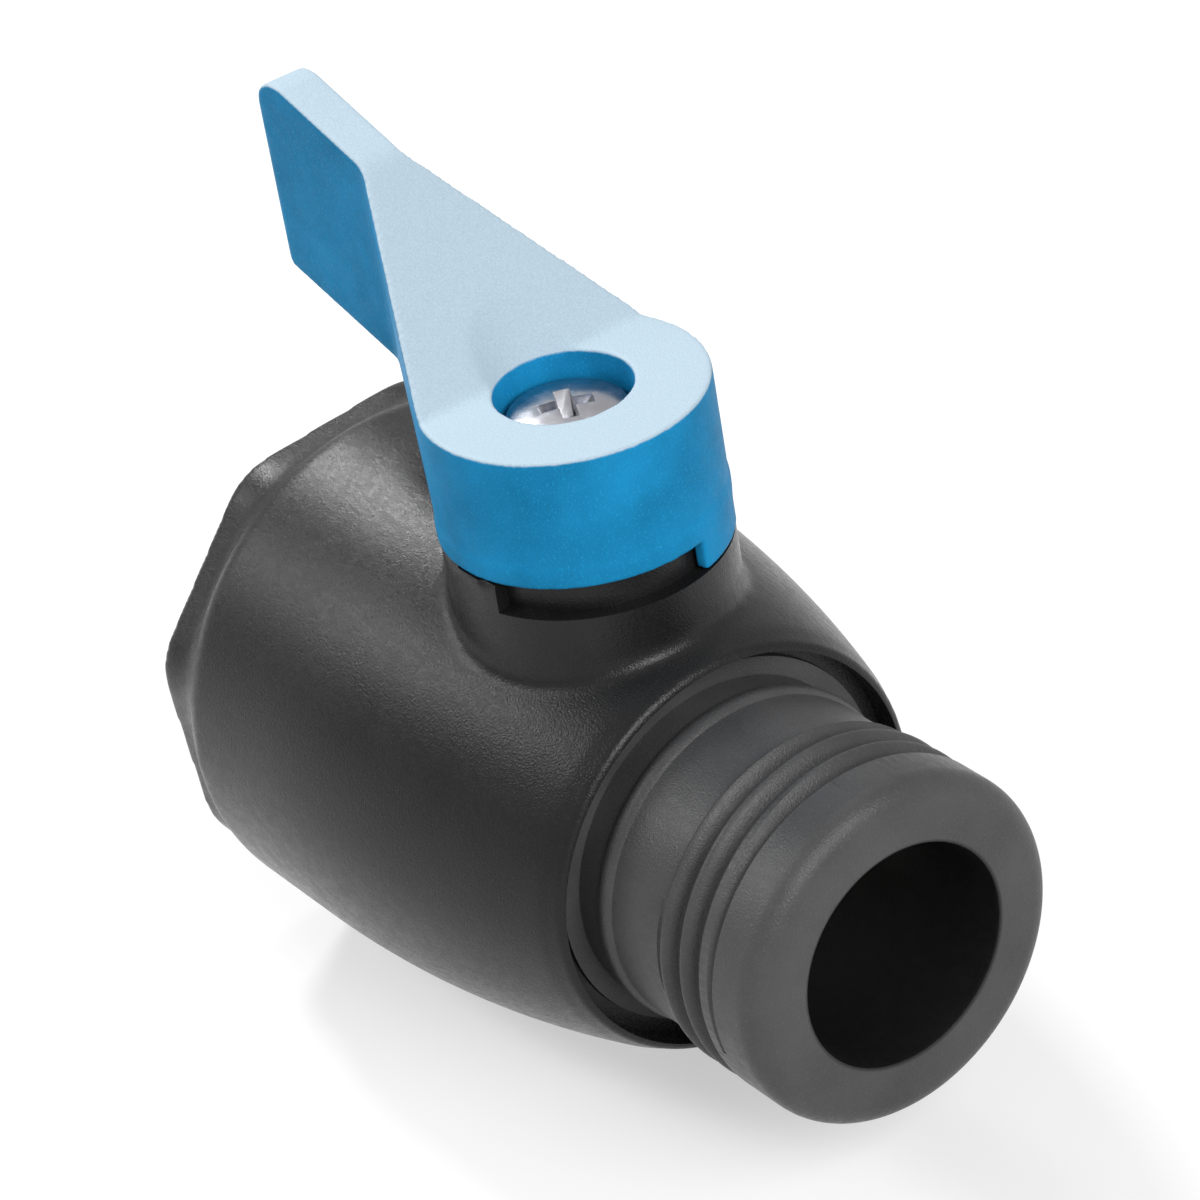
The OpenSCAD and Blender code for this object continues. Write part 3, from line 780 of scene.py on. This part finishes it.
class HOSEVALVE_OT_stage(bpy.types.Operator):
    """Set the pale floor, the soft lights, the white surround and the camera"""
    bl_idname = "hosevalve.stage"
    bl_label = "Stage"

    def execute(self, context):
        scene = context.scene
        deselect()
        bpy.ops.mesh.primitive_plane_add(size=6, location=(0, 0, BODY_LOW / MM - 0.0002))
        floor = bpy.context.object
        floor.name = "floor"
        bpy.ops.object.transform_apply(location=True, rotation=True, scale=True)
        material = bpy.data.materials.new("Pale floor")
        material.use_nodes = True
        nodes, links = material.node_tree.nodes, material.node_tree.links
        nodes.clear()
        output = nodes.new("ShaderNodeOutputMaterial")
        matte = nodes.new("ShaderNodeBsdfDiffuse")
        matte.inputs["Color"].default_value = (0.5, 0.5, 0.5, 1)
        glow = nodes.new("ShaderNodeEmission")
        glow.inputs["Strength"].default_value = 0.52
        paths = nodes.new("ShaderNodeLightPath")
        seen = nodes.new("ShaderNodeMath")
        seen.operation = "MAXIMUM"
        clear = nodes.new("ShaderNodeMath")
        clear.operation = "MAXIMUM"
        links.new(paths.outputs["Is Camera Ray"], seen.inputs[0])
        links.new(paths.outputs["Is Glossy Ray"], seen.inputs[1])
        links.new(seen.outputs[0], clear.inputs[0])
        links.new(paths.outputs["Is Transmission Ray"], clear.inputs[1])
        dark = nodes.new("ShaderNodeEmission")
        dark.inputs["Strength"].default_value = 0
        choose = nodes.new("ShaderNodeMixShader")
        links.new(clear.outputs[0], choose.inputs[0])
        links.new(dark.outputs[0], choose.inputs[1])
        links.new(glow.outputs[0], choose.inputs[2])
        both = nodes.new("ShaderNodeAddShader")
        links.new(matte.outputs[0], both.inputs[0])
        links.new(choose.outputs[0], both.inputs[1])
        links.new(both.outputs[0], output.inputs["Surface"])
        floor.data.materials.append(material)

        world = bpy.data.worlds.new("White surround")
        world.use_nodes = True
        scene.world = world
        nodes, links = world.node_tree.nodes, world.node_tree.links
        nodes.clear()
        output = nodes.new("ShaderNodeOutputWorld")
        white = nodes.new("ShaderNodeBackground")
        white.inputs["Strength"].default_value = 1.0
        soft = nodes.new("ShaderNodeBackground")
        soft.inputs["Strength"].default_value = 0.25
        paths = nodes.new("ShaderNodeLightPath")
        seen = nodes.new("ShaderNodeMath")
        seen.operation = "MAXIMUM"
        clear = nodes.new("ShaderNodeMath")
        clear.operation = "MAXIMUM"
        links.new(paths.outputs["Is Camera Ray"], seen.inputs[0])
        links.new(paths.outputs["Is Glossy Ray"], seen.inputs[1])
        links.new(seen.outputs[0], clear.inputs[0])
        links.new(paths.outputs["Is Transmission Ray"], clear.inputs[1])
        mix = nodes.new("ShaderNodeMixShader")
        links.new(clear.outputs[0], mix.inputs[0])
        links.new(soft.outputs[0], mix.inputs[1])
        links.new(white.outputs[0], mix.inputs[2])
        links.new(mix.outputs[0], output.inputs["Surface"])

        target = Vector((STEM_X / MM, 0, 0.012))
        for name, place, size, power in (
                ("Overhead softbox", (-0.15, 0.15, 0.45), 0.12, 0.25),
                ("Back softbox", (-0.37, 0.03, 0.335), 0.08, 1.3),
                ("Left softbox", (-0.355, -0.25, 0.25), 0.12, 0.45),
                ("Front left softbox", (-0.19, -0.31, 0.34), 0.12, 0.65),
                ("Outlet softbox", (0.38, -0.03, 0.24), 0.24, 1.7)):
            lamp = bpy.data.lights.new(name, "AREA")
            lamp.shape = "SQUARE"
            lamp.size = size
            lamp.energy = power
            holder = bpy.data.objects.new(name, lamp)
            holder.location = target + Vector(place)
            holder.rotation_euler = (target - holder.location).to_track_quat("-Z", "Y").to_euler()
            scene.collection.objects.link(holder)

        # The view solved from the photo's round edges: axes right, up and back, and the place
        right = Vector((0.589304, 0.794446, -0.146888))
        up = Vector((-0.354329, 0.417540, 0.836726))
        back = Vector((0.726066, -0.441040, 0.527554))
        shift = Vector((2.385281, -13.381060, -369.690919))
        place = -(right * shift.x + up * shift.y + back * shift.z)
        view = bpy.data.cameras.new("Photo view")
        view.lens = 150
        view.sensor_width = 36
        view.clip_start = 0.01
        view.clip_end = 20
        camera = bpy.data.objects.new("Photo view", view)
        turn = Matrix((right, up, back)).transposed().to_4x4()
        spot = Vector((place.x + STEM_X, place.y, place.z)) / MM
        camera.matrix_world = Matrix.Translation(spot) @ turn
        scene.collection.objects.link(camera)
        scene.camera = camera
        scene.view_settings.view_transform = "Standard"
        return {"FINISHED"}


class HOSEVALVE_PT_panel(bpy.types.Panel):
    """Sizes, colours and pieces of the hose shut-off valve"""
    bl_idname = "HOSEVALVE_PT_panel"
    bl_label = "Hose shut-off valve"
    bl_space_type = "VIEW_3D"
    bl_region_type = "UI"
    bl_category = "Hose valve"

    def draw(self, context):
        for title, group in GROUPS:
            box = self.layout.box()
            box.label(text=title)
            values = getattr(context.scene, group)
            for key in values.bl_rna.properties.keys():
                if key not in ("rna_type", "name"):
                    box.prop(values, key)
        for step in STEPS:
            self.layout.operator("hosevalve." + step)


GROUPS = (
    ("Body", "hose_valve_body"),
    ("Outlet tail", "hose_valve_tail"),
    ("Lever", "hose_valve_lever"),
    ("Finish", "hose_valve_finish"),
)
STEPS = ("body", "tail", "lever", "screw", "inner", "stage")
CLASSES = (
    HoseValveBody, HoseValveTail, HoseValveLever, HoseValveFinish,
    HOSEVALVE_OT_body, HOSEVALVE_OT_tail, HOSEVALVE_OT_lever, HOSEVALVE_OT_screw,
    HOSEVALVE_OT_inner, HOSEVALVE_OT_stage, HOSEVALVE_PT_panel,
)


def register():
    for item in CLASSES:
        bpy.utils.register_class(item)
    for group, kind in zip((name for title, name in GROUPS), CLASSES[:4]):
        setattr(bpy.types.Scene, group, bpy.props.PointerProperty(type=kind))


def unregister():
    for title, group in GROUPS:
        delattr(bpy.types.Scene, group)
    for item in reversed(CLASSES):
        bpy.utils.unregister_class(item)


def main():
    register()
    for step in STEPS:
        getattr(bpy.ops.hosevalve, step)()


if __name__ == "__main__":
    main()
